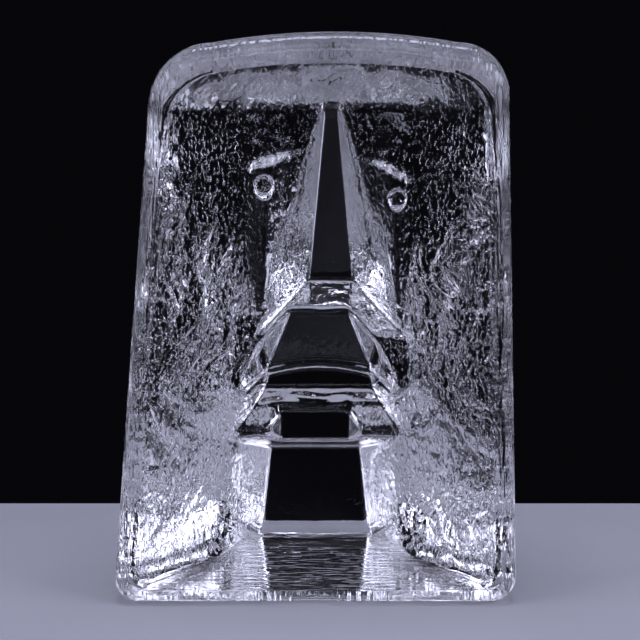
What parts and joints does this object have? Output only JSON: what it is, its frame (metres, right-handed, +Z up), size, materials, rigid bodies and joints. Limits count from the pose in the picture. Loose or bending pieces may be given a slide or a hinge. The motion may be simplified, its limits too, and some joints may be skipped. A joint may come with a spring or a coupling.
{
  "type": "glass face sculpture",
  "caption": "Clear cast glass block with a flat leaning window in front and a stern mask in deep relief on its back, seen through the glass; it stands on its flat underside.",
  "frame": {"origin": "On the underside, half way across the base and half the chin's depth behind the window's foot", "axes": "+Z up, -Y out of the flat window towards the viewer, +X to the viewer's right"},
  "size_m": [0.1145, 0.0763, 0.16],
  "materials": {
    "clear_glass": "clear cast glass: polished window and base, chill marks on the carved back"
  },
  "bodies": {
    "root": {"cast_glass_face": "clear_glass"}
  },
  "joints": []
}
